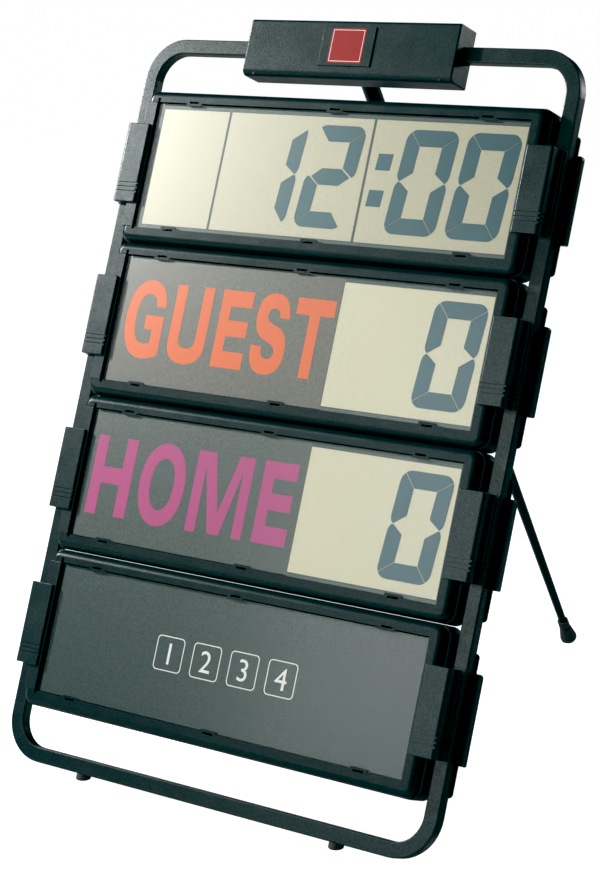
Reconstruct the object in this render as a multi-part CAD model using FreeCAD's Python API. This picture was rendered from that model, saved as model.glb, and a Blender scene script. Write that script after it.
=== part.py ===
import FreeCAD, Part
import math, os

# Free-standing electronic scoreboard on an easel frame.
# Everything is drawn in the board's own frame first: x to the right, y up along the board,
# z out of the board's front, with z = 0 on the front plane of the module bezels and y = 0 at
# the top of the first window. The last step leans the board back and stands it on the floor.
# Lengths are in millimetres.

V = FreeCAD.Vector

# ---------------------------------------------------------------- driving dimensions
LEAN = 19.5                  # board leans back from the vertical, degrees
N_MOD = 4
PITCH = 160.1                # one module to the next
WIN_W, WIN_H = 439.0, 131.4  # window
WIN_X = 1.55                 # the window is this far right of the frame's centre
MOD_HW = 234.85              # half width of a bezel
MOD_TOP, MOD_BOT = 12.0, 14.2  # bezel above and below the window
CASE_HW = 239.5              # half width of a rear case
LEDGE_Z = -8.0               # bezel meets rear case
CASE_BACK = -28.4
EAR_HW = 259.0               # rear panel, which bears on the back of the frame
EAR_TOP, EAR_BOT = -6.7, -138.4
EAR_BACK = -30.9
WALL = 2.2

FR_HW = 257.0                # frame, outer half width
FR_TOP, FR_BOT = 71.3, -682.0
FR_W = 14.9                  # frame section, across
FR_FRONT, FR_BACK = -15.0, -28.2
FR_R = 44.0                  # outer corner radius

FOOT_X, FOOT_R = 153.5, 7.3
FLOOR_Y, FLOOR_Z = -686.5, -21.6   # the floor plane passes through this line of the board

LATCH_TOP, LATCH_BOT = -24.2, -106.6
PAD_IN, PAD_OUT = 223.3, 251.2
PAD_Z = 3.5
PLATE_TOP, PLATE_BOT = -24.5, -108.5
PLATE_OUT = 265.0
LATCH_TRAVEL = 12.0

HB_HW = 123.85               # handle box
HB_BOT, HB_TOP = 33.0, 90.7
HB_FRONT, HB_BACK = -2.5, -31.5
HB_SPLIT = -29.0
HB_WALL = 2.5

PIV_Y, PIV_Z = 46.5, -43.0   # leg pivot
LEG_DIR = (-0.6137, -0.7896) # leg at rest, (y, z)
LEG_R0, LEG_R1 = 8.7, 4.4
LEG_LEN = 788.0              # pivot to the top of the rubber tip
TIP_LEN = 30.0
PIN_R = 3.0

BTN_Y = 44.0
BTN_X = (-92.0, -68.0, -44.0, 44.0, 68.0, 92.0)
BTN_NAMES = ("button_clock_run", "button_clock_set", "button_guest_up",
             "button_guest_down", "button_home_up", "button_home_down")
BTN_R = 5.0
BTN_TRAVEL = 1.5

parts = {}


# ---------------------------------------------------------------- helpers
def box(x0, x1, y0, y1, z0, z1):
    return Part.makeBox(x1 - x0, y1 - y0, z1 - z0, V(x0, y0, z0))


def rwire(pts, to3):
    """Closed wire through (a, b, r) corners, each rounded by r."""
    n = len(pts)
    ents = []
    prev_end = None
    first = None
    for i in range(n):
        a = pts[i - 1]
        p = pts[i]
        q = pts[(i + 1) % n]
        P = V(p[0], p[1], 0)
        A = V(a[0], a[1], 0) - P
        B = V(q[0], q[1], 0) - P
        A.normalize()
        B.normalize()
        r = p[2]
        if r > 1e-6:
            ang = A.getAngle(B)
            d = r / math.tan(ang / 2)
            s = P + A * d
            e = P + B * d
            bis = A + B
            bis.normalize()
            c = P + bis * (r / math.sin(ang / 2))
            m = c - bis * r
            ents.append((s, m, e))
        else:
            ents.append((P, None, P))
    edges = []
    for i in range(n):
        s, m, e = ents[i]
        pe = ents[i - 1][2]
        if pe.distanceToPoint(s) > 1e-6:
            edges.append(Part.LineSegment(to3(pe), to3(s)).toShape())
        if m is not None:
            edges.append(Part.Arc(to3(s), to3(m), to3(e)).toShape())
    return Part.Wire(edges)


def slab(pts, z0, z1):
    """Rounded outline in x, y extruded along z."""
    w = rwire(pts, lambda p: V(p.x, p.y, z0))
    return Part.Face(w).extrude(V(0, 0, z1 - z0))


def rect(x0, x1, y0, y1, r):
    return [(x0, y0, r), (x1, y0, r), (x1, y1, r), (x0, y1, r)]


def rslab(x0, x1, y0, y1, z0, z1, r):
    return slab(rect(x0, x1, y0, y1, r), z0, z1)


def prof_xz(pts, y0, y1):
    """Outline in x, z extruded along y."""
    w = rwire(pts, lambda p: V(p.x, y0, p.y))
    return Part.Face(w).extrude(V(0, y1 - y0, 0))


def prof_yz(pts, x0, x1):
    """Outline in y, z extruded along x."""
    w = rwire(pts, lambda p: V(x0, p.x, p.y))
    return Part.Face(w).extrude(V(x1 - x0, 0, 0))


def cyl_z(x, y, z0, z1, r):
    return Part.makeCylinder(r, z1 - z0, V(x, y, z0), V(0, 0, 1))


def cyl_x(x0, x1, y, z, r):
    return Part.makeCylinder(r, x1 - x0, V(x0, y, z), V(1, 0, 0))


def mirror_x(s):
    return s.mirror(V(0, 0, 0), V(1, 0, 0))


def moved(s, dx, dy, dz):
    c = s.copy()
    c.translate(V(dx, dy, dz))
    return c


def fillet_at(s, r, test):
    es = [e for e in s.Edges if test(e)]
    try:
        t = s.makeFillet(r, es)
        if t.isValid() and t.Volume > 0:
            return t
    except Exception:
        pass
    print("fillet left out", r, len(es))
    return s


def edge_all(e, f):
    """True if f holds at several points of the edge."""
    a, b = e.FirstParameter, e.LastParameter
    return all(f(e.valueAt(a + (b - a) * k)) for k in (0.02, 0.25, 0.5, 0.75, 0.98))


def near(a, b, t=0.02):
    return abs(a - b) < t


# ---------------------------------------------------------------- frame
def loop(hw, top, bot, w, z0, z1, r):
    o = rslab(-hw, hw, bot, top, z0, z1, r)
    i = rslab(-hw + w, hw - w, bot + w, top - w, z0 - 1, z1 + 1, r - w)
    return o.cut(i)


GR = 1.0                     # groove between the front strip and the channel
strip = loop(FR_HW, FR_TOP, FR_BOT, FR_W, FR_FRONT - 1.8, FR_FRONT, FR_R)
strip = fillet_at(strip, 1.2, lambda e: edge_all(e, lambda p: near(p.z, FR_FRONT)))
parts["frame_front_strip"] = strip

chan = loop(FR_HW, FR_TOP, FR_BOT, FR_W, FR_BACK, FR_FRONT - 1.8 - GR, FR_R)
chan = fillet_at(chan, 2.2, lambda e: edge_all(e, lambda p: near(p.z, FR_BACK)))
neck = loop(FR_HW - GR, FR_TOP - GR, FR_BOT + GR, FR_W - 2 * GR,
            FR_FRONT - 1.8 - GR - 0.5, FR_FRONT - 1.8, FR_R - GR)
chan = chan.fuse(neck)
hollow = loop(FR_HW - 3.4, FR_TOP - 3.4, FR_BOT + 3.4, FR_W - 6.8,
              FR_BACK + 2.6, FR_FRONT - 1.7, FR_R - 3.4)
chan = chan.cut(hollow).removeSplitter()
parts["frame_channel"] = chan

# ---------------------------------------------------------------- modules
win_l, win_r = WIN_X - WIN_W / 2, WIN_X + WIN_W / 2
m_top, m_bot = MOD_TOP, -WIN_H - MOD_BOT
TAB_X = (-174.0, 0.5, 174.2)
SLIT0, SLIT1 = -221.2, -217.95

# bezel
bz = rslab(-MOD_HW, MOD_HW, m_bot, m_top, LEDGE_Z, 0.0, 9.5)
bz = fillet_at(bz, 6.5, lambda e: edge_all(e, lambda p: near(p.z, 0.0)))
inner = rslab(-MOD_HW + WALL, MOD_HW - WALL, m_bot + WALL, m_top - WALL, LEDGE_Z - 1, -3.6, 7.3)
inner = fillet_at(inner, 3.5, lambda e: edge_all(e, lambda p: near(p.z, -3.6)))
bz = bz.cut(inner)
bz = bz.cut(box(win_l, win_r, -WIN_H, 0, -9, 1))
# slit between the end cap and the lens, and the seat of the end cap
bz = bz.cut(box(SLIT0, SLIT1 + 0.1, -WIN_H - 2.4, 4.5, -9, 1))
CAP_IN = SLIT0
bz = bz.cut(box(-MOD_HW - 1, CAP_IN + 0.01, -WIN_H, 0, -9, 1))
# snap fingers over the lens, each with a relief slot beside it
for tx in TAB_X:
    for s in (1, -1):
        y_edge = 0.0 if s > 0 else -WIN_H
        f = rslab(tx - 9.5, tx + 9.5, *(sorted((y_edge + s * 1.5, y_edge - s * 2.7))), -1.1, -0.1, 0.8)
        leg = box(tx - 9.2, tx + 9.2, *(sorted((y_edge + s * 1.5, y_edge + s * 0.02))), -3.7, -0.5)
        bz = bz.fuse(f).fuse(leg)
        bz = bz.cut(box(tx - 5.9, tx + 5.9, *(sorted((y_edge + s * 1.8, y_edge - s * 0.35))), -9, 1))
bezel = bz.removeSplitter()

# left end cap: fills the bezel's left end beside the window
cap = rslab(-MOD_HW, CAP_IN - 0.0, -WIN_H + 0.15, -0.15, LEDGE_Z, 0.0, 0.4)
cap = fillet_at(cap, 0.6, lambda e: edge_all(e, lambda p: near(p.z, 0.0)))
cap = cap.cut(box(-MOD_HW + WALL, CAP_IN - 1.6, -WIN_H + 2, -2, LEDGE_Z - 1, -2.6))
end_cap = cap

# lens
lens = rslab(win_l + 0.25, win_r - 0.25, -WIN_H + 0.25, -0.25, -3.1, -1.2, 1.0)

# rear case
case = rslab(-CASE_HW, CASE_HW, m_bot - 1.05, m_top + 1.05, CASE_BACK, LEDGE_Z, 12.0)
case = fillet_at(case, 1.6, lambda e: edge_all(e, lambda p: near(p.z, LEDGE_Z)))
panel = rslab(-EAR_HW, EAR_HW, EAR_BOT, EAR_TOP, EAR_BACK, CASE_BACK + 0.001, 4.0)
panel = fillet_at(panel, 1.0, lambda e: edge_all(e, lambda p: near(p.z, EAR_BACK)))
case = case.fuse(panel)
case = case.cut(rslab(-CASE_HW + WALL, CASE_HW - WALL, m_bot - 1.05 + WALL, m_top + 1.05 - WALL,
                      CASE_BACK + 0.2, LEDGE_Z + 1, 9.8))
# the passage that each latch's tongue runs in
for s in (1, -1):
    a, b = sorted((s * (CASE_HW + 0.02), s * (CASE_HW + 3.2)))
    case = case.cut(box(a, b, -118.0 - LATCH_TRAVEL - 2, -20.0, EAR_BACK - 1, CASE_BACK + 0.01))
# corner posts that the bezel screws into, and board rests
for px in (-226.0, 226.0):
    for py in (4.0, m_bot + 7.5):
        case = case.fuse(cyl_z(px, py, CASE_BACK, LEDGE_Z, 4.2))
for px in (-140.0, 0.0, 140.0):
    for py in (-20.0, -111.0):
        case = case.fuse(cyl_z(px, py, CASE_BACK, -11.3, 3.5))
# long cooling slots in the back, and the opening of the link port
for k in range(5):
    y = -40.0 - 12.0 * k
    case = case.cut(rslab(-200.0, -140.0, y - 1.5, y + 1.5, EAR_BACK - 1, CASE_BACK + 2, 1.4))
    case = case.cut(rslab(140.0, 200.0, y - 1.5, y + 1.5, EAR_BACK - 1, CASE_BACK + 2, 1.4))
case_blank = case.removeSplitter()
case_plug = case_blank.cut(rslab(60 - 11.5, 60 + 11.5, -131.5, -118.5, EAR_BACK - 1, CASE_BACK + 3, 1.3))
SCREWS = [(px, py) for px in (-226.0, 226.0) for py in (4.0, m_bot + 7.5)]


def drill(case):
    for px, py in SCREWS:
        case = case.cut(cyl_z(px, py, -40, LEDGE_Z + 1, 1.6))
        case = case.cut(cyl_z(px, py, -40, CASE_BACK + 2.2, 3.2))
    return case


case_blank = drill(case_blank)
case_plug = drill(case_plug)
boss = None
for px, py in SCREWS:
    b = cyl_z(px, py, LEDGE_Z + 0.0, -3.2, 3.6).cut(cyl_z(px, py, LEDGE_Z - 1, -4.2, 1.6))
    bezel = bezel.fuse(b)
bezel = bezel.removeSplitter()

screw = cyl_z(0, 0, -26.2, -5.0, 1.6).fuse(Part.makeCone(3.1, 2.6, 1.6, V(0, 0, -27.9), V(0, 0, 1)))
screw = screw.cut(box(-2.2, 2.2, -0.4, 0.4, -28.5, -27.2)).cut(box(-0.4, 0.4, -2.2, 2.2, -28.5, -27.2))
mod_screws = []

# liquid-crystal panels and cards lie on one plane behind the lens
LZ0, LZ1 = -5.6, -3.5
CY0, CY1 = -WIN_H + 4.4, -6.4
D1 = (-126.8, 48.8)          # dividers of the timer
D2 = 51.1                    # divider of the score modules


def lcd(x0, x1):
    g1 = rslab(x0, x1, CY0, CY1, LZ0, LZ1, 0.5)
    return g1


def board(x0, x1):
    b = rslab(x0, x1, -112.0 - 6, -13.0, -11.1, -9.5, 2.0)
    chips = []
    n = max(1, int((x1 - x0) / 90))
    for k in range(n):
        cx = x0 + (k + 0.5) * (x1 - x0) / n
        chips.append(rslab(cx - 9, cx + 9, -72.0, -54.0, -13.6, -11.1, 0.6))
        chips.append(rslab(cx - 22, cx - 17, -60.0, -55.0, -12.9, -11.1, 0.4))
        chips.append(box(cx - 30, cx + 30, -20.0, -16.0, -9.5, LZ0 - 0.1))
        chips.append(box(cx - 30, cx + 30, -115.0, -111.0, -9.5, LZ0 - 0.1))
    holes = [cyl_z(px, py, -12, -9, 1.5) for px in (-140.0, 0.0, 140.0) for py in (-20.0, -111.0)]
    for h in holes:
        b = b.cut(h)
    return Part.makeCompound([b] + chips)


def port_cover(dy):
    """Rubber cover pushed into a link port."""
    s = rslab(60 - 11.4, 60 + 11.4, -131.4, -118.6, EAR_BACK + 0.3, -25.0, 1.2)
    s = s.fuse(rslab(60 - 15.0, 60 + 15.0, -135.0, -115.0, EAR_BACK - 1.0, EAR_BACK, 3.0))
    s = s.fuse(rslab(60 - 11.4, 60 + 11.4, -131.4, -118.6, EAR_BACK - 0.5, EAR_BACK + 0.4, 1.2))
    s = s.fuse(rslab(60 - 4.0, 60 + 4.0, -138.2, -134.0, EAR_BACK - 1.0, EAR_BACK, 1.5))
    for k in range(3):
        s = s.cut(box(60 - 6.0, 60 + 6.0, -122.4 - 2.6 * k, -121.4 - 2.6 * k, EAR_BACK - 2, EAR_BACK - 0.6))
    return moved(s.removeSplitter(), 0, dy, 0)


names = ("timer", "guest", "home", "lower")
sockets = []
for i, nm in enumerate(names):
    dy = -i * PITCH
    parts[nm + "_bezel"] = moved(bezel, 0, dy, 0)
    parts[nm + "_rear_case"] = moved(case_plug if i < 3 else case_blank, 0, dy, 0)
    parts[nm + "_end_cap"] = moved(end_cap, 0, dy, 0)
    parts[nm + "_lens"] = moved(lens, 0, dy, 0)
    for px, py in SCREWS:
        mod_screws.append(moved(screw, px, py + dy, 0))
    if i < 3:
        parts[nm + "_driver_board"] = moved(board(-205.0, 205.0) if i == 0 else board(30.0, 205.0), 0, dy, 0)
        sockets.append(port_cover(dy))
parts["timer_lcd_panels"] = Part.makeCompound([
    lcd(win_l + 6.0, D1[0] - 1.5), lcd(D1[0] + 1.5, D1[1] - 1.5), lcd(D1[1] + 1.5, win_r - 3.0)])
parts["guest_lcd_panel"] = moved(lcd(D2 + 0.2, win_r - 3.0), 0, -PITCH, 0)
parts["home_lcd_panel"] = moved(lcd(D2 + 0.2, win_r - 3.0), 0, -2 * PITCH, 0)
card = rslab(win_l + 1.0, D2 - 0.2, -WIN_H + 1.0, -1.0, -4.6, -3.5, 0.8)
parts["guest_card"] = moved(card, 0, -PITCH, 0)
parts["home_card"] = moved(card, 0, -2 * PITCH, 0)
parts["lower_card"] = moved(rslab(win_l + 1.0, win_r - 1.0, -WIN_H + 1.0, -1.0, -4.6, -3.5, 0.8), 0, -3 * PITCH, 0)
parts["module_screws"] = Part.makeCompound(mod_screws)

# ---------------------------------------------------------------- latches
# One section for the whole latch: finger pad over the bezel, outer wall, flange on the frame.
G = 0.3                      # air under a latch
sec = [
    (PAD_IN, G, 0.5), (PAD_IN, PAD_Z, 1.3), (PAD_OUT, PAD_Z, 3.0),
    (PAD_OUT, FR_FRONT + 2.0 + G, 3.2), (FR_HW - 0.1, FR_FRONT + 2.0 + G, 0.8), (FR_HW - 0.1, FR_FRONT + G, 0.2),
    (CASE_HW + G + 2.2, FR_FRONT + G, 0.0), (CASE_HW + G + 2.2, EAR_BACK - 5.6, 0.3), (CASE_HW + G, EAR_BACK - 5.6, 0.3),
    (CASE_HW + G, LEDGE_Z + 4.0, 0.5), (MOD_HW + 2.2, G, 0.5),
]
lat = prof_xz(sec, LATCH_BOT, LATCH_TOP)
# the tongue is two short lugs behind the flange
lat = lat.cut(box(CASE_HW - 3, CASE_HW + 6, LATCH_BOT - 1, LATCH_BOT + 8, -60, FR_FRONT - 1.0))
lat = lat.cut(box(CASE_HW - 3, CASE_HW + 6, LATCH_BOT + 20, LATCH_TOP - 26, -60, FR_FRONT - 1.0))
lat = lat.cut(box(CASE_HW - 3, CASE_HW + 6, LATCH_TOP - 14, LATCH_TOP + 1, -60, FR_FRONT - 1.0))
PLATE_T = 2.5
for y0, y1 in ((LATCH_BOT + 8, LATCH_BOT + 20), (LATCH_TOP - 26, LATCH_TOP - 14)):
    hook = box(CASE_HW + G - 4.5, CASE_HW + G + 2.2, y0, y1, EAR_BACK - 5.6, EAR_BACK - PLATE_T - 0.3)
    lat = lat.fuse(hook)
# finger grooves across pad, wall and flange
for y in (-86.9, -91.3, -95.7):
    lat = lat.cut(box(PAD_IN - 1, PAD_OUT + 9, y - 0.85, y + 0.85, PAD_Z - 1.1, PAD_Z + 1))
    lat = lat.cut(box(PAD_OUT - 0.9, PAD_OUT + 9, y - 0.85, y + 0.85, FR_FRONT + 2.0 + G - 0.7, PAD_Z + 1))
# ends of the pad
lat = fillet_at(lat, 0.7, lambda e: edge_all(e, lambda p: near(p.z, PAD_Z) and (near(p.y, LATCH_TOP) or near(p.y, LATCH_BOT))))
latch_r = lat.removeSplitter()
latch_l = mirror_x(latch_r)

plate = slab([(226.0, PLATE_BOT, 2.0), (PLATE_OUT, PLATE_BOT, 1.6), (PLATE_OUT, PLATE_TOP, 3.6), (226.0, PLATE_TOP, 2.0)],
             EAR_BACK - PLATE_T, EAR_BACK)
lip = box(FR_HW + 2.4, PLATE_OUT, PLATE_BOT, PLATE_TOP - 3.6, EAR_BACK - 0.1, FR_BACK - 0.6)
lip = lip.fuse(slab([(FR_HW + 2.4, PLATE_BOT + 8, 0), (PLATE_OUT, PLATE_BOT + 8, 0), (PLATE_OUT, PLATE_TOP, 3.6),
                     (FR_HW + 2.4, PLATE_TOP, 0.0)], EAR_BACK - 0.1, FR_BACK - 0.6))
plate = plate.fuse(lip)
for y0, y1 in ((LATCH_BOT + 8, LATCH_BOT + 20), (LATCH_TOP - 26, LATCH_TOP - 14)):
    plate = plate.cut(box(CASE_HW - 0.1, CASE_HW + 3.1, y0 - LATCH_TRAVEL - 0.6, y1 + 0.6, -60, EAR_BACK + 1))
    plate = plate.cut(box(CASE_HW - 4.8, CASE_HW + 3.1, y0 - LATCH_TRAVEL - 0.6, y1 - LATCH_TRAVEL + 0.6, -60, EAR_BACK + 1))
PSC = [(232.0, -40.0 - 26.4)]
for px, py in ((231.0, -66.4), (252.0, -66.4)):
    plate = plate.cut(cyl_z(px, py, -60, EAR_BACK + 1, 1.7))
plate_r = plate.removeSplitter()
plate_l = mirror_x(plate_r)

psc = cyl_z(0, 0, EAR_BACK - 2.6, CASE_BACK + 0.0, 1.65).fuse(
    cyl_z(0, 0, EAR_BACK - 2.6 - 1.8, EAR_BACK - 2.5, 3.2))
psc = psc.cut(box(-2.3, 2.3, -0.45, 0.45, -40, EAR_BACK - 2.6 - 0.9)).cut(
    box(-0.45, 0.45, -2.3, 2.3, -40, EAR_BACK - 2.6 - 0.9))

plates, pscrews = [], []
for i, nm in enumerate(names):
    dy = -i * PITCH
    parts[nm + "_latch_right"] = moved(latch_r, 0, dy, 0)
    parts[nm + "_latch_left"] = moved(latch_l, 0, dy, 0)
    plates += [moved(plate_r, 0, dy, 0), moved(plate_l, 0, dy, 0)]
    for s in (1, -1):
        for px in (231.0, 252.0):
            pscrews.append(moved(psc, s * px, -66.4 + dy, 0))
            h = cyl_z(s * px, -66.4 + dy, EAR_BACK - 1, CASE_BACK + 0.3, 1.7)
            parts[nm + "_rear_case"] = parts[nm + "_rear_case"].cut(h)
parts["latch_strikers"] = Part.makeCompound(plates)
parts["striker_screws"] = Part.makeCompound(pscrews)

# ---------------------------------------------------------------- handle box
sec = [(HB_BOT, HB_FRONT, 6.5), (HB_TOP, HB_FRONT, 3.0), (HB_TOP, HB_SPLIT, 0.0), (HB_BOT, HB_SPLIT, 0.0)]
hb = prof_yz(sec, -HB_HW, HB_HW)
hb = fillet_at(hb, 1.6, lambda e: edge_all(e, lambda p: near(abs(p.x), HB_HW)) and not edge_all(e, lambda p: near(p.z, HB_SPLIT)))
sec = [(HB_BOT + HB_WALL, HB_FRONT - HB_WALL, 4.0), (HB_TOP - HB_WALL, HB_FRONT - HB_WALL, 1.0),
       (HB_TOP - HB_WALL, HB_SPLIT - 1, 0.0), (HB_BOT + HB_WALL, HB_SPLIT - 1, 0.0)]
hb = hb.cut(prof_yz(sec, -HB_HW + HB_WALL, HB_HW - HB_WALL))
tube_y0, tube_y1 = FR_TOP - FR_W, FR_TOP
for s in (1, -1):
    a, b = sorted((s * (HB_HW - 6), s * (HB_HW + 1)))
    hb = hb.cut(box(a, b, tube_y0 - 0.15, tube_y1 + 0.15, HB_SPLIT - 1, FR_FRONT + 0.15))
# saddle ribs that hold the frame
for x in (-110.0, -20.0, 20.0, 110.0):
    rib = box(x - 1.2, x + 1.2, HB_BOT + 1, HB_TOP - 1, HB_FRONT - 12.4, HB_FRONT - 1)
    rib = rib.cut(box(x - 3, x + 3, HB_BOT + 8, HB_TOP - 8, HB_FRONT - 30, HB_FRONT - 5.5))
    rib = rib.fuse(box(x - 1.2, x + 1.2, tube_y0 + 2, tube_y1 - 2, FR_FRONT, HB_FRONT - 1))
    if abs(x) > 100:
        hb = hb.fuse(rib)
posts = [(-117.0, 38.5), (117.0, 38.5), (-117.0, 85.0), (117.0, 85.0)]
for px, py in posts:
    hb = hb.fuse(cyl_z(px, py, HB_SPLIT, HB_FRONT - 1.5, 3.2)).cut(cyl_z(px, py, HB_SPLIT - 1, HB_SPLIT + 12, 1.3))
hb = hb.cut(rslab(-32.6, 29.6, 44.3, 84.7, HB_FRONT - 0.9, HB_FRONT + 1, 0.8))
parts["handle_front_shell"] = hb.removeSplitter()
parts["label_plate"] = fillet_at(rslab(-32.3, 29.3, 44.6, 84.4, HB_FRONT - 0.9, HB_FRONT + 1.3, 0.6), 0.4,
                                 lambda e: edge_all(e, lambda p: near(p.z, HB_FRONT + 1.3)))

rc = rslab(-HB_HW, HB_HW, HB_BOT, HB_TOP, HB_BACK, HB_SPLIT, 1.6)
rc = fillet_at(rc, 1.2, lambda e: edge_all(e, lambda p: near(p.z, HB_BACK)))
for px, py in posts:
    rc = rc.cut(cyl_z(px, py, HB_BACK - 1, HB_SPLIT + 1, 1.6)).cut(cyl_z(px, py, HB_BACK - 1, HB_BACK + 1.3, 2.9))
for bx in BTN_X:
    rc = rc.cut(cyl_z(bx, BTN_Y, HB_BACK - 1, HB_SPLIT + 1, BTN_R + 0.3))
# battery opening, power switch window, sounder holes
BX0, BX1, BY0 = -109.0, -6.0, 73.4
rc = rc.cut(box(BX0, BX1, BY0, HB_TOP + 1, HB_BACK - 1, HB_SPLIT + 1))
rc = rc.cut(box(BX0 - 1.5, BX1 + 1.5, BY0, HB_TOP + 1, HB_BACK + 0.7, HB_SPLIT - 0.5))
SWX, SWY = 92.0, 80.5
rc = rc.cut(rslab(SWX - 6.3, SWX + 6.3, SWY - 2.8, SWY + 2.8, HB_BACK - 1, HB_SPLIT + 1, 0.5))
for k in range(7):
    for j in range(3):
        rc = rc.cut(cyl_z(24.0 + 5.0 * k, 76.0 + 4.5 * j, HB_BACK - 1, HB_SPLIT + 1, 0.9))
# seat of the leg bracket
for bx in (-15.0, 15.0):
    for by in (38.5, 54.5):
        rc = rc.cut(cyl_z(bx, by, HB_BACK - 1, HB_SPLIT + 1, 1.7))
parts["handle_rear_cover"] = rc.removeSplitter()

hs = cyl_z(0, 0, HB_BACK + 1.0, HB_SPLIT + 9, 1.3).fuse(cyl_z(0, 0, HB_BACK - 0.2, HB_BACK + 1.3, 2.7))
hs = hs.cut(box(-2.0, 2.0, -0.4, 0.4, HB_BACK - 1, HB_BACK + 0.6)).cut(box(-0.4, 0.4, -2.0, 2.0, HB_BACK - 1, HB_BACK + 0.6))
parts["handle_screws"] = Part.makeCompound([moved(hs, px, py, 0) for px, py in posts])

# battery door: its side tongues run in the cover, and it slides up and off
bd = box(BX0 + 0.3, BX1 - 0.3, BY0 + 0.3, HB_TOP, HB_BACK, HB_SPLIT - 0.3)
bd = fillet_at(bd, 1.2, lambda e: edge_all(e, lambda p: near(p.z, HB_BACK) and near(p.y, HB_TOP)))
bd = bd.fuse(box(BX0 - 1.2, BX1 + 1.2, BY0 + 0.3, HB_TOP - 0.5, HB_BACK + 1.0, HB_SPLIT - 0.8))
for k in range(4):
    bd = bd.cut(box(-67.5, -47.5, BY0 + 3.0 + 2.2 * k, BY0 + 4.0 + 2.2 * k, HB_BACK - 1, HB_BACK + 0.5))
parts["battery_door"] = bd.removeSplitter()
cells = []
for cx in (-107.0, -55.5):
    c = cyl_x(cx, cx + 49.2, 80.9, -20.6, 6.9)
    c = c.fuse(cyl_x(cx + 49.2, cx + 50.6, 80.9, -20.6, 2.6))
    cells.append(c)
parts["battery_cells"] = Part.makeCompound(cells)

# control board, in front of the frame bar
cb = rslab(-104.0, 104.0, 37.0, 87.0, -12.2, -10.6, 1.5)
bits = []
for bx in BTN_X:
    bits.append(rslab(bx - 3, bx + 3, BTN_Y - 3, BTN_Y + 3, -15.4, -12.2, 0.4))
bits.append(rslab(-60.0, -38.0, 56.5, 74.0, -14.2, -12.2, 0.5))
bits.append(rslab(20.0, 32.0, 58.0, 70.0, -14.2, -12.2, 0.5))
bits.append(rslab(SWX - 9, SWX + 9, SWY - 4.0, SWY + 4.0, -24.6, -12.2, 0.5))
bits.append(rslab(-22.0, 22.0, 37.6, 41.8, -18.5, -12.2, 0.5))
parts["control_board"] = Part.makeCompound([cb] + bits)
snd = cyl_z(46.0, 80.0 - 0.3, -25.5, -12.4, 6.6).cut(cyl_z(46.0, 79.7, -26, -24.5, 1.6))
parts["sounder"] = snd

# rear buttons
for nm, bx in zip(BTN_NAMES, BTN_X):
    b = cyl_z(bx, BTN_Y, HB_BACK - 2.4, HB_SPLIT + 0.6, BTN_R)
    b = fillet_at(b, 0.8, lambda e: edge_all(e, lambda p: near(p.z, HB_BACK - 2.4)))
    b = b.fuse(cyl_z(bx, BTN_Y, HB_SPLIT + 0.4, HB_SPLIT + 1.6, BTN_R + 1.3))
    b = b.fuse(cyl_z(bx, BTN_Y, HB_SPLIT + 1.5, -15.4 - BTN_TRAVEL - 0.4, 1.6))
    parts[nm] = b.removeSplitter()
sw = rslab(SWX - 2.5 - 2.0, SWX + 2.5 - 2.0, SWY - 2.2, SWY + 2.2, HB_BACK - 1.6, -24.9, 0.5)
sw = sw.fuse(rslab(SWX - 7.0 - 2.0 + 2.0, SWX + 3.0 + 2.0 - 2.0, SWY - 3.4, SWY + 3.4, HB_SPLIT + 0.3, HB_SPLIT + 1.5, 0.5))
for k in range(3):
    sw = sw.cut(box(SWX - 3.5 + 1.4 * k - 0.3, SWX - 3.5 + 1.4 * k + 0.3, SWY - 3, SWY + 3, HB_BACK - 3, HB_BACK - 1.0))
parts["power_switch"] = sw.removeSplitter()

parts["link_port_covers"] = Part.makeCompound(sockets)

# ---------------------------------------------------------------- leg
dl = V(0, LEG_DIR[0], LEG_DIR[1])
dl.normalize()
piv = V(0, PIV_Y, PIV_Z)
# bracket: foot plate on the rear cover and two ears
br = rslab(-19.0, 19.0, 35.0, 58.0, HB_BACK - 2.4, HB_BACK, 2.0)
EAR0, EAR1 = 9.1, 12.1
for s in (1, -1):
    a, b = sorted((s * EAR0, s * EAR1))
    ear = prof_yz([(PIV_Y - 9.5, HB_BACK - 2.0, 0.0), (PIV_Y + 9.5, HB_BACK - 2.0, 0.0),
                   (PIV_Y + 9.5, PIV_Z - 9.5, 9.3), (PIV_Y - 9.5, PIV_Z - 9.5, 9.3)], a, b)
    br = br.fuse(ear)
br = br.cut(cyl_x(-20, 20, PIV_Y, PIV_Z, PIN_R + 0.05))
for bx in (-15.0, 15.0):
    for by in (38.5, 54.5):
        br = br.cut(cyl_z(bx, by, HB_BACK - 5, HB_BACK + 1, 1.7))
parts["leg_bracket"] = br.removeSplitter()
bs = cyl_z(0, 0, HB_BACK - 2.5, HB_SPLIT - 0.05, 1.65).fuse(cyl_z(0, 0, HB_BACK - 2.4 - 1.7, HB_BACK - 2.4, 2.7))
bs = bs.cut(box(-1.9, 1.9, -0.4, 0.4, -40, HB_BACK - 2.4 - 0.9)).cut(box(-0.4, 0.4, -1.9, 1.9, -40, HB_BACK - 2.4 - 0.9))
parts["bracket_screws"] = Part.makeCompound([moved(bs, bx, by, 0) for bx in (-15.0, 15.0) for by in (38.5, 54.5)])
pin = cyl_x(-14.0, 14.0, PIV_Y, PIV_Z, PIN_R)
pin = pin.fuse(cyl_x(-14.6, -EAR1 - 0.1, PIV_Y, PIV_Z, 4.6)).fuse(cyl_x(EAR1 + 0.1, 14.6, PIV_Y, PIV_Z, 4.6))
pin = fillet_at(pin, 0.8, lambda e: edge_all(e, lambda p: near(abs(p.x), 14.6)))
parts["leg_pivot_pin"] = pin.removeSplitter()

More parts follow.
